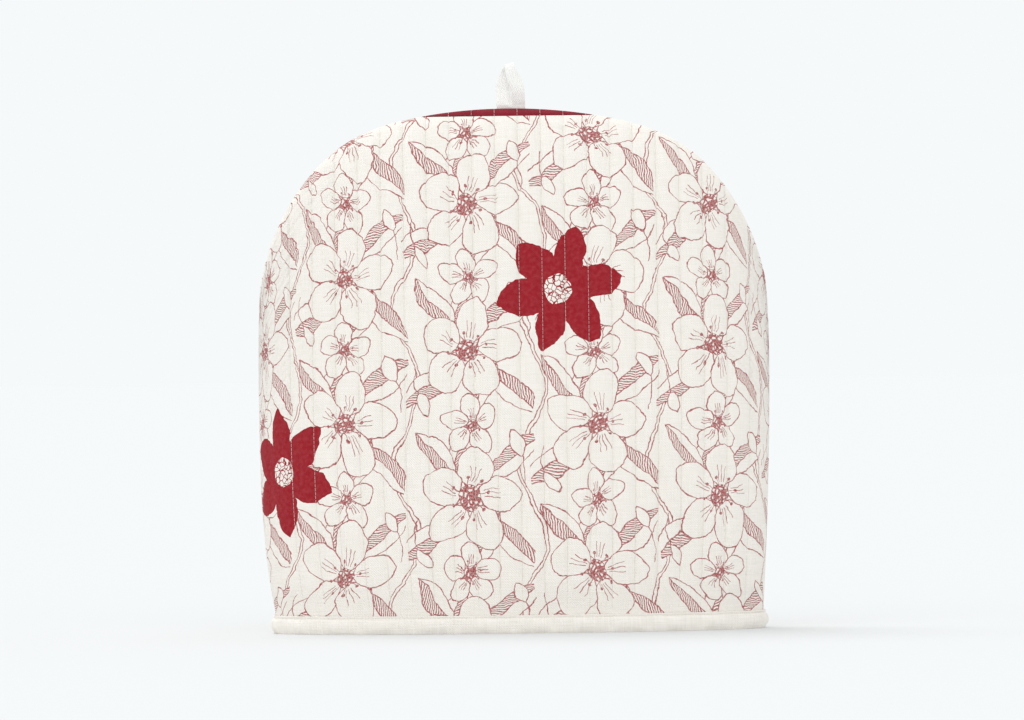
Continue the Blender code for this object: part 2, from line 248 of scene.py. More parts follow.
def makePanel(name, side, material, replaced):
    # one padded panel: a fine quilted outside, a plain inside with every fourth column, the
    # seam faces between them with a pocket for the tape's ends, and the pressed lower edge
    s, plain = panelColumns()
    top = crestHeight(s)
    ceiling = cosy["seamHeight"] if side < 0 else 2 * cosy["crest"]
    start = np.maximum((top - ceiling) / (top - cosy["pressedTop"]), 0.0004)
    t = np.linspace(0, 1, panelGrid["rows"])[:, None] ** panelGrid["crestPower"]
    q = start + (1 - start) * t
    rows = outerPoint(np.broadcast_to(s, q.shape), q, side)
    if side < 0:
        rows = dipAtStrip(rows)
    crest = outerPoint(s, 0.0 * s, side)
    crest[:, 2] = np.minimum(crest[:, 2], ceiling)
    foot = rows[-1] * (1, 1, 0) + (0, 0, cosy["foot"])
    outside = np.concatenate([crest[None], rows, foot[None]])

    qInside = np.concatenate([0.0 * q[:1], q])
    x, depth, z = shellPoint(np.broadcast_to(s, qInside.shape), qInside, quilting["seamWall"])
    inside = np.stack([x, side * (cosy["gap"] / 2 + depth), z], axis=-1)
    lining = np.concatenate([inside, inside[-1:] * (1, 1, 0) + (0, 0, cosy["foot"])])
    if side > 0:
        outside = openPocket(outside)
    lip = outside[0] + 0.70 * (inside[0] - outside[0]) * (1, 0, 1)
    ledge = outside[0] + 0.76 * (inside[0] - outside[0]) * (1, 0, 1)
    ledge[:, 1] = inside[0, :, 1]
    lining = lining[:, plain]

    outer = np.arange(outside[..., 0].size).reshape(outside.shape[:2])
    seam = outer.size + np.arange(2 * len(s)).reshape(2, len(s))
    inner = outer.size + seam.size + np.arange(lining[..., 0].size).reshape(lining.shape[:2])
    faces = quadFaces(outer).tolist() + quadFaces(inner).tolist()
    faces += quadFaces(np.concatenate([outer[:1], seam])).tolist()
    faces += zipFaces(seam[1], inner[0], plain) + zipFaces(outer[-1], inner[-1], plain)
    for end in (0, -1):
        faces += quadFaces(np.stack([outer[1:, end], inner[1:, end]])).tolist()
        ends = [outer[0, end], *seam[:, end], inner[0, end], inner[1, end], outer[1, end]]
        faces.append([int(k) for k in ends])
    points = np.concatenate([a.reshape(-1, 3) for a in (outside, lip, ledge, lining)])
    piece = makePiece(name, points, faces, material, replaced)

    # the inside lies below 0 on the flat cloth, where its plain wrong side has no print
    places = clothPlaces(outside, int(np.argmin(np.abs(s)))) * (-side, 1)
    wrongSide = places[:, plain] * (1, -1) - (0, 30 * mm)
    flat = [places, np.stack([places[0], places[0]]), wrongSide]
    setClothCoordinates(piece, np.concatenate([part.reshape(-1, 2) for part in flat]))
    return piece


def dipAtStrip(points):
    # the cloth dips along the straight seam of the crown strip, as a bell of the height off it
    away = (points[..., 2] - cosy["seamHeight"]) / (1.3 * mm)
    x, y = points[..., 0], points[..., 1]
    along = (x > strip["left"] - 2 * mm) & (x < strip["right"] + 2 * mm)
    points[..., 1] = y + np.minimum(strip["dip"] * np.exp(-(away**2)) * along, np.abs(y) * 0.3)
    return points


def openPocket(points):
    # the back of the crest seam stands off round the ends of the tape
    x, y, z = points[..., 0], points[..., 1], points[..., 2]
    window = smoothRise((tape["pocketHalf"] - np.abs(x)) / (0.8 * mm))
    window = window * smoothRise((z - cosy["crest"] + 8 * mm) / (3 * mm))
    points[..., 1] = y + window * np.maximum(0, tape["pocketBack"] - y)
    return points


def zipFaces(fine, coarse, plain):
    # faces between a row with every column and a row with only the plain ones
    every = panelGrid["insideEvery"]
    run = np.column_stack([fine[plain[:-1] + k] for k in range(every + 1)])
    return np.column_stack([run, coarse[1:], coarse[:-1]]).tolist()


strip = {
    "rows": 26,
    "columns": 190,
    "dip": 0.55 * mm,  # depth of the cloth at the strip's straight seam
}
strip["foot"] = cosy["seamHeight"] + cosy["gap"]
strip["left"], strip["right"] = (corner.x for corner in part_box("crown_strip"))


def makeStrip(material):
    # the pieced strip: the same quilted surface from the crest to its straight seam, flat
    # behind and level below, so it is one closed lens
    s = np.linspace(strip["left"], strip["right"], strip["columns"]) / cosy["halfWidth"]
    top = crestHeight(s)
    low = (top - strip["foot"]) / (top - cosy["pressedTop"])
    q = np.linspace(0, 1, strip["rows"])[:, None] ** 1.5 * low
    rows = dipAtStrip(outerPoint(np.broadcast_to(s, q.shape), q, -1))
    back = rows[0] * (1, 1, 0) + (0, 0, strip["foot"])
    points = np.concatenate([rows, back[None]])
    grid = np.arange(points[..., 0].size).reshape(points.shape[:2])
    faces = quadFaces(np.concatenate([grid, grid[:1]])).tolist()
    faces += [grid[:, 0].tolist(), grid[:, -1].tolist()]
    piece = makePiece("crownStrip", points, faces, material, ["crown_strip"])
    places = clothPlaces(points, strip["columns"] // 2)
    setClothCoordinates(piece, places.reshape(-1, 2))
    return piece


binding = {
    "cloth": 1.1 * mm,  # thickness of the folded cloth
    "floor": 1.5 * mm,  # its thickness under the panels
    "top": cosy["bindingTop"] - 1.0 * mm,
    "puff": 1.2 * mm,
    "stitchHeight": 10.4 * mm,
    "stitchBed": 0.3 * mm,  # how far the cloth stands out there, before its furrow
    "stitchGroove": 1.0 * mm,
    "grooveWidth": 0.7 * mm,
    # the ripples' height, length and phase
    "ripples": ((0.5 * mm, 31 * mm, 0.3), (0.34 * mm, 12.5 * mm, 1.9), (0.16 * mm, 5.3 * mm, 4.4)),
}


def hemCurve(inset):
    # the closed curve of the panels' lower edge from above, front then back, its outward unit
    # normals and the distance along it
    s, _ = panelColumns()
    x, depth, _ = shellPoint(s, 1.0 + 0.0 * s, inset)
    front = np.stack([x, -(cosy["gap"] / 2 + depth)], axis=-1)
    back = np.stack([x, cosy["gap"] / 2 + depth], axis=-1)[::-1]
    curve = np.concatenate([front, back])
    ahead = np.roll(curve, -1, axis=0) - curve
    length = np.linalg.norm(ahead, axis=1)
    ahead = ahead / length[:, None]
    along = ahead + np.roll(ahead, 1, axis=0)
    along = along / np.linalg.norm(along, axis=1, keepdims=True)
    run = np.concatenate([[0], np.cumsum(length[:-1])])
    return curve, np.stack([along[:, 1], -along[:, 0]], axis=-1), run


def roundedRing(rows, times):
    # cuts the corners of a closed outline: each edge gives a point a quarter and one three
    # quarters along it
    for _ in range(times):
        ahead = np.roll(rows, -1, axis=0)
        rows = np.stack([0.75 * rows + 0.25 * ahead, 0.25 * rows + 0.75 * ahead], axis=1)
        rows = rows.reshape(-1, rows.shape[-1])
    return rows


def bindingRelief(run, height):
    # ripples between the stitches, strongest at mid height, and the furrow of the stitching
    wave = 0.0 * run
    for size, length, phase in binding["ripples"]:
        wave = wave + size * np.sin(2 * np.pi * run / length + phase + 0.8 * np.sin(run / 0.047))
    body = smoothRise(height / (4 * mm)) * smoothRise((binding["stitchHeight"] - height) / (4 * mm))
    away = (height - binding["stitchHeight"]) / binding["grooveWidth"]
    pinch = 0.12 * mm * np.sin(2 * np.pi * run / (2.9 * mm)) * np.exp(-np.abs(away) / 2)
    return wave * body - binding["stitchGroove"] * np.exp(-(away**2)) + pinch


def makeBinding(material):
    # a U of cloth swept round the hem: each corner of the U is a share of the outer (1) or
    # inner (0) curve, a distance off it and a height; the corners are rounded, then swept
    clear, face = cosy["gap"], cosy["gap"] + binding["cloth"]
    puffed, top = face + binding["puff"], binding["top"]
    section = np.array((
        (1, clear, top - 0.6 * mm),
        (1, clear, top),
        (1, face, top),
        (1, face + 0.2 * mm, binding["stitchHeight"] + 0.5 * mm),
        (1, puffed, 0.6 * top),
        (1, face + 0.9 * binding["puff"], 0.3 * top),
        (1, face - 0.7 * mm, 0),
        (1, clear, 0),
        (0, clear, 0),
        (0, face, 0),
        (0, puffed, 0.35 * top),
        (0, face, top),
        (0, clear, top),
        (0, clear, binding["floor"]),
        (1, clear, binding["floor"]),
    ))
    section = roundedRing(section, 2)
    outerCurve, outerNormal, run = hemCurve(0)
    innerCurve, innerNormal, _ = hemCurve(quilting["seamWall"])
    share, away, height = (section[:, k, None] for k in range(3))
    outward = smoothRise((away - face + 0.4 * mm) / (0.4 * mm)) * smoothRise((share - 0.9) / 0.1)
    away = away + outward * bindingRelief(np.broadcast_to(run, (len(section), len(run))), height)
    outside = outerCurve + outerNormal * away[..., None]
    inside = innerCurve - innerNormal * away[..., None]
    plan = share[..., None] * outside + (1 - share[..., None]) * inside
    points = np.concatenate([plan, np.broadcast_to(height[..., None], plan[..., :1].shape)], axis=-1)
    ring = np.arange(points[..., 0].size).reshape(points.shape[:2])
    ring = np.concatenate([ring, ring[:1]])
    ring = np.concatenate([ring, ring[:, :1]], axis=1)
    faces = quadFaces(ring).tolist()
    piece = makePiece("hemBinding", points, faces, material, ["hem_binding"])
    girth = np.linalg.norm(np.diff(points[:, 0], axis=0), axis=1)
    girth = np.concatenate([[0], np.cumsum(girth)])
    places = np.stack(np.broadcast_arrays(run[None], girth[:, None]), axis=-1)
    setClothCoordinates(piece, places.reshape(-1, 2))
    return piece


tape = {
    "width": (loopHigh.x - loopLow.x) / 2 - 0.4 * mm,
    "cutWidth": 10 * mm,  # the tape off the reel, before it curls a little
    "thickness": 1.0 * mm,
    "y": 1.05 * mm,
    "root": loopLow.z,
    "tip": loopHigh.z - 1.6 * mm,
    "neck": 2 * mm,  # height over the crest where the legs part
    "bow": 5.5 * mm,  # how far the loop opens, seen from the side
    "legOffset": 4.8 * mm,  # from the middle to each leg
    "leanStart": 0.35,  # share of the rise where the legs begin to lean together
    "drift": -0.8 * mm,  # how far the tip hangs over to the left
    "pinch": 0.33,  # share of its width that the tape loses at the tip
    "twist": 0.4,  # radians, just past the tip
    "roll": 2.4 * mm,  # how far the edges between the two legs roll back
    "stations": 110,
    "rootStations": 8,
}
tape["pocketHalf"] = tape["legOffset"] + tape["width"] / 2 + 0.9 * mm
tape["pocketBack"] = tape["y"] + 0.9 * mm


def loopPath():
    # the tape's middle line: a drop seen from the side, y by the sine of the turn times the
    # sine of half of it, and two upright legs seen from the front that lean together towards
    # the tip, x by a smooth S of the share of the rise
    neck = cosy["crest"] + tape["neck"]
    turn = np.linspace(0, 2 * np.pi, tape["stations"] + 1)
    rise = (1 - np.cos(turn)) / 2
    z = neck + (tape["tip"] - neck) * rise
    y = tape["y"] + tape["bow"] * np.sin(turn) * np.sin(turn / 2)
    lean = smoothRise((rise - tape["leanStart"]) / (1 - tape["leanStart"]))
    x = tape["legOffset"] * np.sign(turn - np.pi) * (1 - lean) + tape["drift"] * smoothRise(rise / 0.7)
    drop = np.column_stack([x, y, z])
    rootZ = np.linspace(tape["root"], neck, tape["rootStations"], endpoint=False)
    left = np.column_stack([0 * rootZ - tape["legOffset"], 0 * rootZ + tape["y"], rootZ])
    return np.concatenate([left, drop, left[::-1] * (-1, 1, 1)])


def makeLoop(material):
    # flat tape carried along the path, its width as near to the X axis as the path lets it,
    # with rounded selvedges, pinched and twisted a little round the tip as bells of the run
    path = loopPath()
    along = np.gradient(path, axis=0)
    along = along / np.linalg.norm(along, axis=1, keepdims=True)
    width = np.array([1.0, 0, 0]) - along * along[:, :1]
    width = width / np.linalg.norm(width, axis=1, keepdims=True)
    normal = np.cross(along, width)
    half, thick = tape["width"] / 2, tape["thickness"] / 2
    across = np.sin(np.linspace(-np.pi / 2, np.pi / 2, 21))
    face = np.column_stack([across * half, thick * (0.82 + 0.18 * np.abs(across) ** 6)])
    face[[0, -1], 1] = 0.45 * thick
    section = np.concatenate([face, face[::-1] * (1, -1)])
    run = np.concatenate([[0], np.cumsum(np.linalg.norm(np.diff(path, axis=0), axis=1))])
    fromTip = run / run[-1] - 0.5
    twist = tape["twist"] * np.exp(-(((fromTip - 0.05) / 0.09) ** 2))[:, None]
    flatWidth, flatNormal = width, normal
    width = flatWidth * np.cos(twist) + flatNormal * np.sin(twist)
    normal = flatNormal * np.cos(twist) - flatWidth * np.sin(twist)
    narrow = 1 - tape["pinch"] * np.exp(-((fromTip / 0.1) ** 2))[:, None]
    waver = 0.12 * mm * np.sin(run / (2.1 * mm)) + 0.15 * mm * np.sin(run / (4.9 * mm) + 1)
    points = path + narrow * width * section[:, :1, None] + normal * section[:, 1:, None]
    points = points + (normal * waver[:, None])[None]
    # the edge by the other leg rolls back by the sixth power of its share of the width, from
    # just above the crest up to the tip
    inner = np.clip(-fromTip / 0.2, -1, 1) * smoothRise((path[:, 2] - cosy["crest"] - mm) / (4 * mm))
    roll = tape["roll"] * np.clip(section[:, :1] / half * np.sign(inner), 0, 1) ** 6 * inner
    points = points + roll[..., None] * normal
    grid = np.arange(points[..., 0].size).reshape(points.shape[:2])
    faces = quadFaces(np.concatenate([grid, grid[:1]])).tolist()
    faces += [grid[:, 0].tolist(), grid[:, -1].tolist()]
    piece = makePiece("hangingLoop", points, faces, material, ["hanging_loop"])
    places = np.stack(np.broadcast_arrays(section[:, :1], run[None]), axis=-1)
    setClothCoordinates(piece, places.reshape(-1, 2))
    return piece


thread = {
    "pitch": 2.6 * mm,
    "length": 2.45 * mm,
    "width": 0.38 * mm,
    "raised": 0.28 * mm,  # the thread's top over the cloth
    "sunk": 0.14 * mm,  # the stitch's ends in the cloth
    "barrel": (0, 0.14, 0.86, 1),  # shares of a stitch's length: its ends and its full thickness
}


def runAlong(line):
    # the distance along a line of points
    return np.concatenate([[0], np.cumsum(np.linalg.norm(np.diff(line, axis=0), axis=1))])


def unit(vectors):
    return vectors / np.linalg.norm(vectors, axis=-1, keepdims=True)


def stitchesAlong(line, outward):
    # evenly pitched stitches on a line of points with their outward vectors: both ends sunk
    # into the cloth, and a left, a top and a right point at either end of the full thickness
    run = runAlong(line)
    starts = np.arange(thread["pitch"] / 8, run[-1] - thread["length"], thread["pitch"])
    at = starts[:, None] + thread["length"] * np.array(thread["barrel"])
    place = np.stack([np.interp(at, run, line[:, k]) for k in range(3)], axis=-1)
    out = unit(np.stack([np.interp(at, run, outward[:, k]) for k in range(3)], axis=-1))
    side = unit(np.cross(place[:, 3:] - place[:, :1], out)) * thread["width"] / 2
    ends = (place - out * thread["sunk"])[:, [0, 3]]
    top = place + out * thread["raised"]
    return np.concatenate([ends, (place - side)[:, 1:3], top[:, 1:3], (place + side)[:, 1:3]], axis=1)


def makeStitches(name, stitches, material):
    # joins the eight-point stitches into one mesh: three faces along each and three at each end
    first = 8 * np.arange(len(stitches))[:, None, None]
    tips = np.array([[0, 2, 4], [0, 4, 6], [0, 6, 2], [1, 5, 3], [1, 7, 5], [1, 3, 7]])
    barrel = np.array([[2, 3, 5, 4], [4, 5, 7, 6], [6, 7, 3, 2]])
    faces = (first + tips).reshape(-1, 3).tolist() + (first + barrel).reshape(-1, 4).tolist()
    piece = makePiece(name, stitches, faces, material)
    setClothCoordinates(piece, stitches[..., [0, 2]].reshape(-1, 2))
    return piece


def rowStitches(side):
    # the stitches of every row of quilting on one panel, from the crest to the binding
    last = int(0.97 * cosy["halfWidth"] / quilting["channel"])
    q = np.linspace(0.001, 0.998, 1500)
    found = []
    for row in range(-last, last + 1):
        s = (quilting["firstLine"] + quilting["channel"] * row) / cosy["halfWidth"]
        shares = s + np.array([-1, 0, 1]) * 0.4 * mm / cosy["halfWidth"]
        left, line, right = (outerPoint(np.full(q.shape, share), q, side) for share in shares)
        outward = unit(np.cross(np.gradient(line, axis=0), right - left))
        outward = outward * np.where(outward[:, 1:2] * side < 0, -1, 1)
        found.append(stitchesAlong(dipAtStrip(line) if side < 0 else line, outward))
    return np.concatenate(found)


def bindingStitches():
    # one row of stitches round the binding, in its furrow
    curve, normal, run = hemCurve(0)
    height = np.full(len(run), binding["stitchHeight"])
    away = cosy["gap"] + binding["cloth"] + binding["stitchBed"] + bindingRelief(run, height)
    line = np.column_stack([curve + normal * away[:, None], height])
    return stitchesAlong(line, np.column_stack([normal, 0 * run]))


def linearColour(hexCode):
    # an sRGB hex colour turned to linear light
    parts = [int(hexCode[k : k + 2], 16) / 255 for k in (1, 3, 5)]
    return (*[c / 12.92 if c <= 0.04045 else ((c + 0.055) / 1.055) ** 2.4 for c in parts], 1.0)


def addNode(tree, kind, *inputs, **settings):
    # one node: the inputs in order are numbers, sockets or nodes, which give their first
    # output; a setting with a capital names an input, any other is the node's own
    node = tree.nodes.new(kind if kind.startswith("Node") else "ShaderNode" + kind)
    for key in [k for k in settings if k[0].islower()]:
        setattr(node, key, settings.pop(key))
    sockets = [s for s in node.inputs if s.enabled]
    named = [(node.inputs[key.replace("_", " ")], value) for key, value in settings.items()]
    pairs = list(zip(sockets, inputs)) + named
    for socket, value in pairs:
        if isinstance(value, bpy.types.Node):
            value = next(s for s in value.outputs if s.enabled)
        if isinstance(value, bpy.types.NodeSocket):
            tree.links.new(value, socket)
        else:
            socket.default_value = value
    return node


def newGroup(name, inputs, outputs):
    # an empty node group with its sockets, and its input node
    group = bpy.data.node_groups.new(name, "ShaderNodeTree")
    for direction, sockets in (("INPUT", inputs), ("OUTPUT", outputs)):
        for label, kind in sockets.items():
            group.interface.new_socket(label, in_out=direction, socket_type="NodeSocket" + kind)
    return group, addNode(group, "NodeGroupInput")


def lensShape(halfLength, halfWidth):
    # two arcs that meet in points: their common radius and how far each centre is off the axis
    reach = halfLength**2 / halfWidth
    return (reach + halfWidth) / 2, (reach - halfWidth) / 2


motifSockets = {"Place": "Vector", "Reach": "Float", "Line": "Float", "Behind": "Float"}


def blossomGroup(name, petals, halfLength, halfWidth, middle, heartReach, scribbleLine):
    # petals in a pinwheel, each a lens over its neighbour, with a fan of veins, a ring of
    # stamens and a scribbled heart; lengths are shares of the blossom's reach
    group, given = newGroup(name, motifSockets, {"Ink": "Float", "Cover": "Float", "Heart": "Float"})
    add = partial(addNode, group)
    share = add("Math", 1.0, given.outputs["Reach"], operation="DIVIDE")
    place = add("VectorMath", given.outputs["Place"], Scale=share, operation="SCALE")
    line = add("Math", given.outputs["Line"], share, operation="MULTIPLY")
    axes = add("SeparateXYZ", place)
    radius = add("VectorMath", place, operation="LENGTH")
    angle = add("Math", axes.outputs["Y"], axes.outputs["X"], operation="ARCTAN2")
    wedge = add("Math", angle, np.pi / petals, -np.pi / petals, operation="WRAP")
    turn = add("Math", wedge, angle, operation="SUBTRACT")
    own = add("VectorRotate", place, Angle=turn, rotation_type="Z_AXIS")
    other = add("VectorRotate", own, Angle=-2 * np.pi / petals, rotation_type="Z_AXIS")

    arc, offset = lensShape(halfLength, halfWidth)
    reaches = []
    for petal in (own, other):
        fromMiddle = add("VectorMath", petal, (middle, 0, 0), operation="SUBTRACT")
        folded = add("VectorMath", fromMiddle, operation="ABSOLUTE")
        fromArc = add("VectorMath", folded, (0, offset, 0), operation="ADD")
        reaches.append(add("VectorMath", fromArc, operation="LENGTH"))
    ownIn, otherIn = (add("Math", r, arc, operation="LESS_THAN") for r in reaches)
    ownLine, otherLine = (add("Math", r, arc, line, operation="COMPARE") for r in reaches)

    fan = add("Math", wedge, 0.085, -0.085, operation="WRAP")
    fromVein = add("Math", fan, radius, operation="MULTIPLY")
    thin = add("Math", line, 0.62, operation="MULTIPLY")
    vein = add("Math", fromVein, 0.0, thin, operation="COMPARE")
    veinRun = add("Math", radius, 0.40, 0.15, operation="COMPARE")
    vein = add("Math", vein, veinRun, operation="MULTIPLY")
    veinFan = add("Math", wedge, 0.0, 0.30, operation="COMPARE")
    vein = add("Math", vein, veinFan, operation="MULTIPLY")
    ownInk = add("Math", ownLine, vein, operation="MAXIMUM")
    shown = add("Math", 1.0, otherIn, operation="SUBTRACT")
    ownInk = add("Math", ownInk, shown, operation="MULTIPLY")
    ink = add("Math", ownInk, otherLine, operation="MAXIMUM")

    spoke = add("Math", angle, np.pi / 8, -np.pi / 8, operation="WRAP")
    fromSpoke = add("Math", spoke, radius, operation="MULTIPLY")
    stamen = add("Math", fromSpoke, 0.0, thin, operation="COMPARE")
    stamenRun = add("Math", radius, 0.24, 0.08, operation="COMPARE")
    stamen = add("Math", stamen, stamenRun, operation="MULTIPLY")
    fromTip = add("Math", radius, 0.33, operation="SUBTRACT")
    tip = add("CombineXYZ", fromTip, fromSpoke)
    tip = add("VectorMath", tip, operation="LENGTH")
    tip = add("Math", tip, 0.03, operation="LESS_THAN")
    stamen = add("Math", stamen, tip, operation="MAXIMUM")
    ink = add("Math", ink, stamen, operation="MAXIMUM")

    heart = add("Math", radius, heartReach, operation="LESS_THAN")
    scribble = add("TexVoronoi", given.outputs["Place"], Scale=0.34, feature="DISTANCE_TO_EDGE")
    scribble = add("Math", scribble, scribbleLine, operation="LESS_THAN")
    rim = add("Math", radius, heartReach, line, operation="COMPARE")
    scribble = add("Math", scribble, rim, operation="MAXIMUM")
    around = add("Math", 1.0, heart, operation="SUBTRACT")
    ink = add("Math", ink, around, operation="MULTIPLY")
    scribble = add("Math", scribble, heart, operation="MULTIPLY")
    ink = add("Math", ink, scribble, operation="MAXIMUM")
    cover = add("Math", ownIn, otherIn, operation="MAXIMUM")
    cover = add("Math", cover, heart, operation="MAXIMUM")
    layMotif(add, given, ink, cover, heart)
    return group


def layMotif(add, given, ink, cover, *others):
    # the ink behind shows only where the motif doesn't cover it
    bare = add("Math", 1.0, cover, operation="SUBTRACT")
    behind = add("Math", given.outputs["Behind"], bare, operation="MULTIPLY")
    ink = add("Math", ink, behind, operation="MAXIMUM")
    add("NodeGroupOutput", ink, cover, *others)


def leafGroup(name, halfWidth, hatch):
    # a lens from its stalk at 0 to its point, with a midrib and hatching over one half; the hatching's
    # spacing is in mm
    group, given = newGroup(name, motifSockets, {"Ink": "Float", "Cover": "Float"})
    add = partial(addNode, group)
    share = add("Math", 1.0, given.outputs["Reach"], operation="DIVIDE")
    place = add("VectorMath", given.outputs["Place"], Scale=share, operation="SCALE")
    line = add("Math", given.outputs["Line"], share, operation="MULTIPLY")
    height = add("SeparateXYZ", place).outputs["Y"]
    arc, offset = lensShape(0.5, halfWidth)
    fromMiddle = add("VectorMath", place, (0.5, 0, 0), operation="SUBTRACT")
    folded = add("VectorMath", fromMiddle, operation="ABSOLUTE")
    fromArc = add("VectorMath", folded, (0, offset, 0), operation="ADD")
    reach = add("VectorMath", fromArc, operation="LENGTH")
    outline = add("Math", reach, arc, line, operation="COMPARE")
    cover = add("Math", reach, arc, operation="LESS_THAN")
    midrib = add("Math", height, 0.0, line, operation="COMPARE")
    stroke = add("VectorMath", given.outputs["Place"], (0.62, 0.78, 0), operation="DOT_PRODUCT")
    stroke = add("Math", stroke, hatch / 2, operation="PINGPONG")
    stroke = add("Math", stroke, 0.24 * hatch, operation="LESS_THAN")
    upper = add("Math", height, 0.0, operation="GREATER_THAN")
    stroke = add("Math", stroke, upper, operation="MULTIPLY")
    inner = add("Math", midrib, stroke, operation="MAXIMUM")
    inner = add("Math", inner, cover, operation="MULTIPLY")
    ink = add("Math", inner, outline, operation="MAXIMUM")
    layMotif(add, given, ink, cover)
    return group


def budGroup():
    # a small lens on a bent stalk, which follows a parabola back from it
    group, given = newGroup("budOnStalk", motifSockets, {"Ink": "Float", "Cover": "Float"})
    add = partial(addNode, group)
    share = add("Math", 1.0, given.outputs["Reach"], operation="DIVIDE")
    place = add("VectorMath", given.outputs["Place"], Scale=share, operation="SCALE")
    line = add("Math", given.outputs["Line"], share, operation="MULTIPLY")
    axes = add("SeparateXYZ", place)
    arc, offset = lensShape(0.5, 0.27)
    fromMiddle = add("VectorMath", place, (0.5, 0, 0), operation="SUBTRACT")
    folded = add("VectorMath", fromMiddle, operation="ABSOLUTE")
    fromArc = add("VectorMath", folded, (0, offset, 0), operation="ADD")
    reach = add("VectorMath", fromArc, operation="LENGTH")
    outline = add("Math", reach, arc, line, operation="COMPARE")
    cover = add("Math", reach, arc, operation="LESS_THAN")
    bend = add("Math", axes.outputs["X"], axes.outputs["X"], operation="MULTIPLY")
    fromStalk = add("Math", bend, -0.35, axes.outputs["Y"], operation="MULTIPLY_ADD")
    stalk = add("Math", fromStalk, 0.0, line, operation="COMPARE")
    stalkRun = add("Math", axes.outputs["X"], -0.6, 0.6, operation="COMPARE")
    stalk = add("Math", stalk, stalkRun, operation="MULTIPLY")
    ink = add("Math", outline, stalk, operation="MAXIMUM")
    layMotif(add, given, ink, cover)
    return group


def halfDropGroup(width, height):
    # the place inside its own cell: columns a width apart, every other one half a height up
    group, given = newGroup("halfDropCell", {"Place": "Vector"}, {"Place": "Vector"})
    add = partial(addNode, group)
    axes = add("SeparateXYZ", given)
    column = add("Math", axes.outputs["X"], width, operation="DIVIDE")
    column = add("Math", column, operation="ROUND")
    x = add("Math", column, -width, axes.outputs["X"], operation="MULTIPLY_ADD")
    y = add("Math", column, height / 2, axes.outputs["Y"], operation="MULTIPLY_ADD")
    y = add("Math", y, height / 2, -height / 2, operation="WRAP")
    cell = add("CombineXYZ", x, y)
    add("NodeGroupOutput", cell)
    return group


# the print's sizes are in mm
printing = {
    "cellWidth": 86,
    "cellHeight": 98,
    "line": (0.25, 0.47),  # half of the drawn line, at its thinnest and thickest
    "wander": ((0.036, 9.0), (0.13, 2.4), (0.42, 0.9)),  # waves per mm and reach in mm
    "hatch": 1.45,
    # behind to front: motif, cell, place in it, turn in degrees and reach
    "motifs": (
        ("leaf", "between", (2, 6), 62, 38),
        ("leaf", "between", (-3, -6), 248, 38),
        ("leaf", "blossom", (9, 13), 38, 48),
        ("leaf", "blossom", (-9, 15), 132, 42),
        ("leaf", "blossom", (-10, -12), 214, 46),
        ("leaf", "blossom", (12, -12), 318, 46),
        ("bud", "hollow", (-7, 5), 118, 16),
        ("bud", "hollow", (9, -6), 300, 14),
        ("small", "between", (0, 0), 20, 21),
        ("large", "blossom", (0, 0), 8, 36),
    ),
    # red blossoms on the front: place across and up the cloth, turn and reach
    "solid": (((62, 236), 12, 43), ((-136, 118), 40, 42)),
    "solidHeart": 0.22,  # share of a solid blossom's reach
}


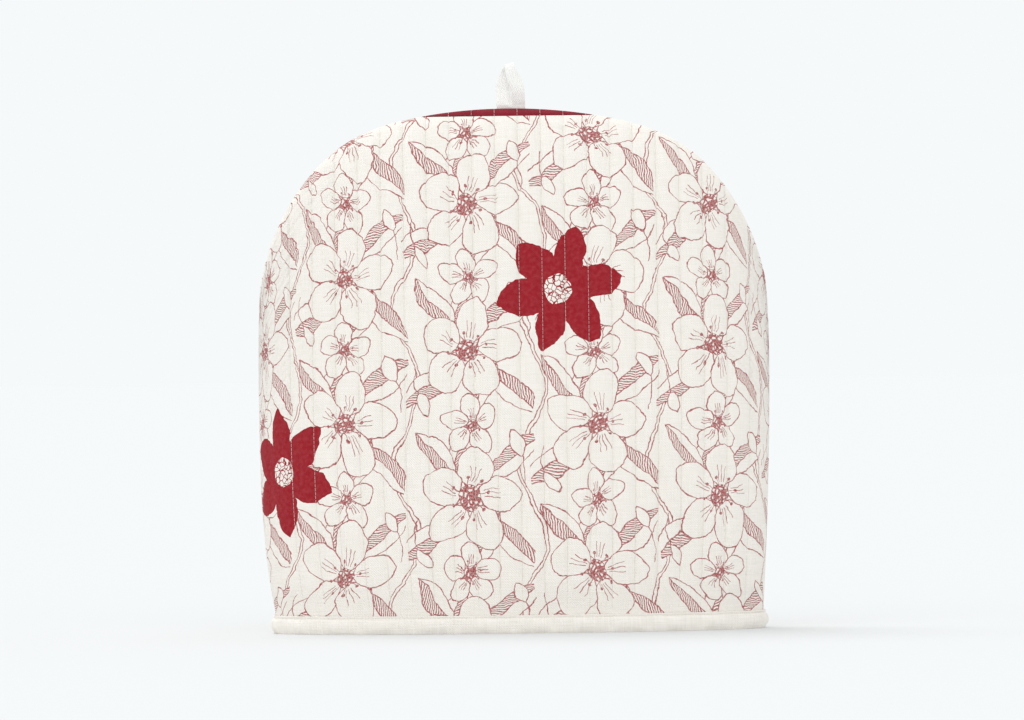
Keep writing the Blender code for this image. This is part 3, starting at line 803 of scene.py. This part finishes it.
def printedCotton(name, shift, solid):
    # printed cotton: plain-woven cream cloth, one red ink screened on it, its line uneven and
    # a little worn, so it takes a matt, slightly slubby finish
    large = blossomGroup("wideBlossom" + name, 5, 0.41, 0.33, 0.57, 0.2, 0.2)
    motifs = {
        "large": large,
        "small": large,
        "leaf": leafGroup("hatchedLeaf" + name, 0.17, printing["hatch"]),
        "bud": budGroup(),
    }
    cellGroup = halfDropGroup(printing["cellWidth"], printing["cellHeight"])
    material, add, places = clothMaterial(name)
    place = add("VectorMath", places, (*shift, 0), operation="ADD")
    for frequency, reach in printing["wander"]:
        wave = add("TexNoise", place, Scale=frequency, Detail=0.0)
        wave = add("VectorMath", wave.outputs["Color"], (0.5, 0.5, 0.5), operation="SUBTRACT")
        wave = add("VectorMath", wave, Scale=reach, operation="SCALE")
        place = add("VectorMath", place, wave, operation="ADD")
    uneven = add("TexNoise", places, Scale=0.16, Detail=2.0)
    line = add("MapRange", uneven, 0.3, 0.7, *printing["line"])

    cells = {}
    halfCell = (printing["cellWidth"] / 2, printing["cellHeight"] / 4)
    for cell, centre in (("blossom", (0, 0)), ("between", (0, 2 * halfCell[1])), ("hollow", halfCell)):
        moved = add("Mapping", place, (*centre, 0), vector_type="TEXTURE")
        cells[cell] = add("Group", moved, node_tree=cellGroup)

    # a wavy double stem runs up between the columns of blossoms
    axes = add("SeparateXYZ", place)
    sway = add("Math", axes.outputs["Y"], 2 * np.pi / printing["cellHeight"], operation="MULTIPLY")
    sway = add("Math", sway, operation="SINE")
    sway = add("Math", sway, 9.0, axes.outputs["X"], operation="MULTIPLY_ADD")
    fromStem = add("Math", sway, printing["cellWidth"], 0.0, operation="WRAP")
    fromStem = add("Math", fromStem, halfCell[0], operation="SUBTRACT")
    fromStem = add("Math", fromStem, operation="ABSOLUTE")
    ink = add("Math", fromStem, 1.1, line, operation="COMPARE")

    for motif, cell, at, turn, reach in printing["motifs"]:
        own = add("Mapping", cells[cell], (*at, 0), (0, 0, np.radians(turn)), vector_type="TEXTURE")
        ink = add("Group", own, reach, line, ink, node_tree=motifs[motif])

    strength = add("TexNoise", places, Scale=0.9, Detail=3.0)
    strength = add("MapRange", strength, 0.32, 0.6, 0.56, 0.95)
    ink = add("Math", ink, strength, operation="MULTIPLY")
    if solid:
        star = blossomGroup("starBlossom" + name, 6, 0.45, 0.26, 0.54, printing["solidHeart"], 0.07)
        for at, turn, reach in printing["solid"]:
            own = add("Mapping", place, (*at, 0), (0, 0, np.radians(turn)), vector_type="TEXTURE")
            blossom = add("Group", own, reach, 0.35, 0.0, node_tree=star)
            heart = blossom.outputs["Heart"]
            filled = add("Math", blossom.outputs["Cover"], heart, operation="SUBTRACT")
            scribble = add("Math", blossom.outputs["Ink"], heart, operation="MULTIPLY")
            filled = add("Math", filled, scribble, operation="MAXIMUM")
            bare = add("Math", 1.0, blossom.outputs["Cover"], operation="SUBTRACT")
            ink = add("Math", ink, bare, operation="MULTIPLY")
            ink = add("Math", ink, filled, operation="MAXIMUM")
    printed = add("Math", add("SeparateXYZ", places).outputs["Y"], 0.0, operation="GREATER_THAN")
    ink = add("Math", ink, printed, operation="MULTIPLY")
    finishCloth(material, add, places, colours["cream"], colours["slub"], ink)
    return material


colours = {
    "cream": "#f5f0e9",
    "slub": "#eee8df",
    "ink": "#981925",
    "inkPale": "#a4333b",
    "red": "#8d1a2a",
    "redSlub": "#7b1625",
    "binding": "#faf5ee",
    "bindingSlub": "#efe9e0",
    "tape": "#fefdfb",
    # painted shade in the tape's rib furrows
    "tapeRibShade": "#f6f3ee",
    "thread": "#f2efe8",
    "threadShade": "#ded8cd",
}

weave = {
    "pitch": 0.8,  # mm; the real cloth has about 0.5, too fine to show
    "height": 0.0001,
    "slubHeight": 0.0002,
    "finish": (("Specular IOR Level", 0.2), ("Sheen Weight", 0.04), ("Sheen Roughness", 0.6)),
}


def clothMaterial(name):
    # a material, its node adder and the place on the flat cloth in mm
    material = bpy.data.materials.new(name)
    material.use_nodes = True
    material.node_tree.nodes.clear()
    add = partial(addNode, material.node_tree)
    flat = add("UVMap", uv_map="cloth")
    return material, add, add("VectorMath", flat, Scale=100.0, operation="SCALE")


def finishCloth(material, add, places, main, slub, ink=None):
    # woven cloth: threads over and under as the product of two sines, thick threads as noise
    # drawn out along each direction, in the colour and in the height
    across = add("Mapping", places, (0, 0, 0), (0, 0, 0), (0.05, 1.3, 1.0))
    along = add("Mapping", places, (7, 3, 0), (0, 0, 0), (1.3, 0.05, 1.0))
    thick = [add("TexNoise", way, Scale=1.0, Detail=2.0) for way in (across, along)]
    slubs = add("Math", *thick, operation="ADD")
    slubs = add("MapRange", slubs, 0.75, 1.35, 0.0, 1.0)
    colour = add("Mix", slubs, linearColour(main), linearColour(slub), data_type="RGBA")
    if ink is not None:
        worn = add("TexNoise", places, Scale=0.35, Detail=4.0)
        worn = add("MapRange", worn, 0.4, 0.75, 0.0, 1.0)
        inks = [linearColour(colours[shade]) for shade in ("ink", "inkPale")]
        dye = add("Mix", worn, *inks, data_type="RGBA")
        colour = add("Mix", ink, colour, dye, data_type="RGBA")
    axes = add("SeparateXYZ", places)
    waves = []
    for axis in ("X", "Y"):
        turn = add("Math", axes.outputs[axis], np.pi / weave["pitch"], operation="MULTIPLY")
        waves.append(add("Math", turn, operation="SINE"))
    threads = add("Math", *waves, operation="MULTIPLY")
    height = add("Bump", Strength=1.0, Distance=weave["height"], Height=threads)
    height = add("Bump", Strength=1.0, Distance=weave["slubHeight"], Height=slubs, Normal=height)
    finish = add("BsdfPrincipled", Base_Color=colour, Roughness=0.9, Normal=height)
    for socket, value in weave["finish"]:
        finish.inputs[socket].default_value = value
    add("OutputMaterial", finish)


def plainCotton(name, main, slub):
    # dyed or bleached plain-woven cotton: matt, with a thicker thread here and there
    material, add, places = clothMaterial(name)
    finishCloth(material, add, places, colours[main], colours[slub])
    return material


def tapeCotton():
    # herringbone-fine twill tape: slanting ribs about a millimetre apart, drawn a little coarse, with
    # painted shade in the furrows between them
    material, add, places = clothMaterial("bleachedTwillTape")
    ribs = add("VectorMath", places, (4.6, 3.4, 0), operation="DOT_PRODUCT")
    ribs = add("Math", ribs, operation="SINE")
    soft = add("TexNoise", places, Scale=0.8, Detail=3.0)
    # painted shade: darker along the furrows between the ribs, mixed with a random tone from the noise
    shade = add("Math", ribs, 0.25, soft, operation="MULTIPLY_ADD")
    shade = add("MapRange", shade, 0.2, 0.8, 0.0, 1.0)
    whites = [linearColour(colours[name]) for name in ("tape", "tapeRibShade")]
    colour = add("Mix", shade, *whites, data_type="RGBA")
    height = add("Bump", Strength=1.0, Distance=0.00012, Height=ribs)
    finish = add("BsdfPrincipled", Base_Color=colour, Roughness=0.85, Normal=height)
    finish.inputs["Specular IOR Level"].default_value = 0.3
    add("OutputMaterial", finish)
    return material


def threadCotton():
    # spun cotton thread: two plies twisted together, so it has a slight lustre and fine
    # slanting lines
    material, add, places = clothMaterial("spunCottonThread")
    twist = add("VectorMath", places, (7.0, 9.0, 0), operation="DOT_PRODUCT")
    twist = add("Math", twist, operation="SINE")
    shade = add("MapRange", twist, -1.0, 1.0, 0.0, 1.0)
    creams = [linearColour(colours[name]) for name in ("thread", "threadShade")]
    colour = add("Mix", shade, *creams, data_type="RGBA")
    height = add("Bump", Strength=1.0, Distance=0.00006, Height=twist)
    finish = add("BsdfPrincipled", Base_Color=colour, Roughness=0.7, Normal=height)
    finish.inputs["Specular IOR Level"].default_value = 0.35
    add("OutputMaterial", finish)
    return material


print("cosy: cloths")
frontCotton = printedCotton("printedCottonFront", (31, 12), True)
backCotton = printedCotton("printedCottonBack", (-12, 40), False)
redCotton = plainCotton("dyedRedCotton", "red", "redSlub")
creamCotton = plainCotton("creamBindingCotton", "binding", "bindingSlub")
tapeCloth = tapeCotton()
threadCloth = threadCotton()

print("cosy: panels, strip, binding and loop")
makePanel("frontPanel", -1, frontCotton, ["front_panel"])
makePanel("backPanel", 1, backCotton, ["back_panel"])
makeStrip(redCotton)
makeBinding(creamCotton)
makeLoop(tapeCloth)

print("cosy: stitching")
makeStitches("frontQuilting", rowStitches(-1), threadCloth)
makeStitches("backQuilting", rowStitches(1), threadCloth)
makeStitches("hemStitching", bindingStitches(), threadCloth)

print("cosy: floor, light and camera")
stage = {
    "background": "#f6f9fa",
    "floorHalf": 60.0,
    # each light's name, strength, direction that it comes from and breadth in degrees
    "lights": (
        ("keyLight", 0.9, (-0.3, 0.35, 0.88), 40),
        ("frontLight", 0.64, (-0.15, -0.9, 0.42), 90),
    ),
}


def makeFloor():
    # a plain pale floor whose colour gives back as much light as the background shows
    heights = [strength * Vector(way).normalized().z for _, strength, way, _ in stage["lights"]]
    fromAbove = sum(heights) / np.pi
    shown = linearColour(stage["background"])[:3]
    colour = [c / (c + fromAbove) for c in shown]
    half = stage["floorHalf"]
    mesh = bpy.data.meshes.new("floor")
    corners = [(-half, -half, 0), (half, -half, 0), (half, half, 0), (-half, half, 0)]
    mesh.from_pydata(corners, [], [(0, 1, 2, 3)])
    material = bpy.data.materials.new("mattPaintedFloor")
    material.use_nodes = True
    material.node_tree.nodes.clear()
    add = partial(addNode, material.node_tree)
    finish = add("BsdfPrincipled", Base_Color=(*colour, 1.0), Roughness=1.0, Specular_IOR_Level=0.0)
    add("OutputMaterial", finish)
    mesh.materials.append(material)
    floor = bpy.data.objects.new("floor", mesh)
    bpy.context.scene.collection.objects.link(floor)


def makeLight():
    # an even pale surround, a soft light high on the left behind and a broader one in front
    world = bpy.data.worlds.new("surround")
    world.use_nodes = True
    world.node_tree.nodes.clear()
    add = partial(addNode, world.node_tree)
    surround = add("Background", linearColour(stage["background"]), 1.0)
    add("OutputWorld", surround)
    bpy.context.scene.world = world
    for name, strength, way, breadth in stage["lights"]:
        light = bpy.data.lights.new(name, "SUN")
        light.energy = strength
        light.angle = np.radians(breadth)
        lamp = bpy.data.objects.new(name, light)
        lamp.rotation_mode = "QUATERNION"
        lamp.rotation_quaternion = Vector(way).to_track_quat("Z", "Y")
        bpy.context.scene.collection.objects.link(lamp)


view = {
    "distance": 5.0,
    "across": -1.3 * mm,
    "height": 178.4 * mm,
    "widthSeen": 675.8 * mm,
    "roll": -0.7,  # degrees
}


def makeCamera():
    camera = bpy.data.cameras.new("camera")
    camera.sensor_width = 36
    camera.lens = camera.sensor_width * view["distance"] / view["widthSeen"]
    camera.clip_end = 2 * stage["floorHalf"]
    eye = bpy.data.objects.new("camera", camera)
    place = Matrix.Translation((view["across"], -view["distance"], view["height"]))
    turned = Matrix.Rotation(np.pi / 2, 4, "X") @ Matrix.Rotation(np.radians(view["roll"]), 4, "Z")
    eye.matrix_world = place @ turned
    bpy.context.scene.collection.objects.link(eye)
    bpy.context.scene.camera = eye


makeFloor()
makeLight()
makeCamera()
bpy.context.scene.view_settings.view_transform = "Standard"
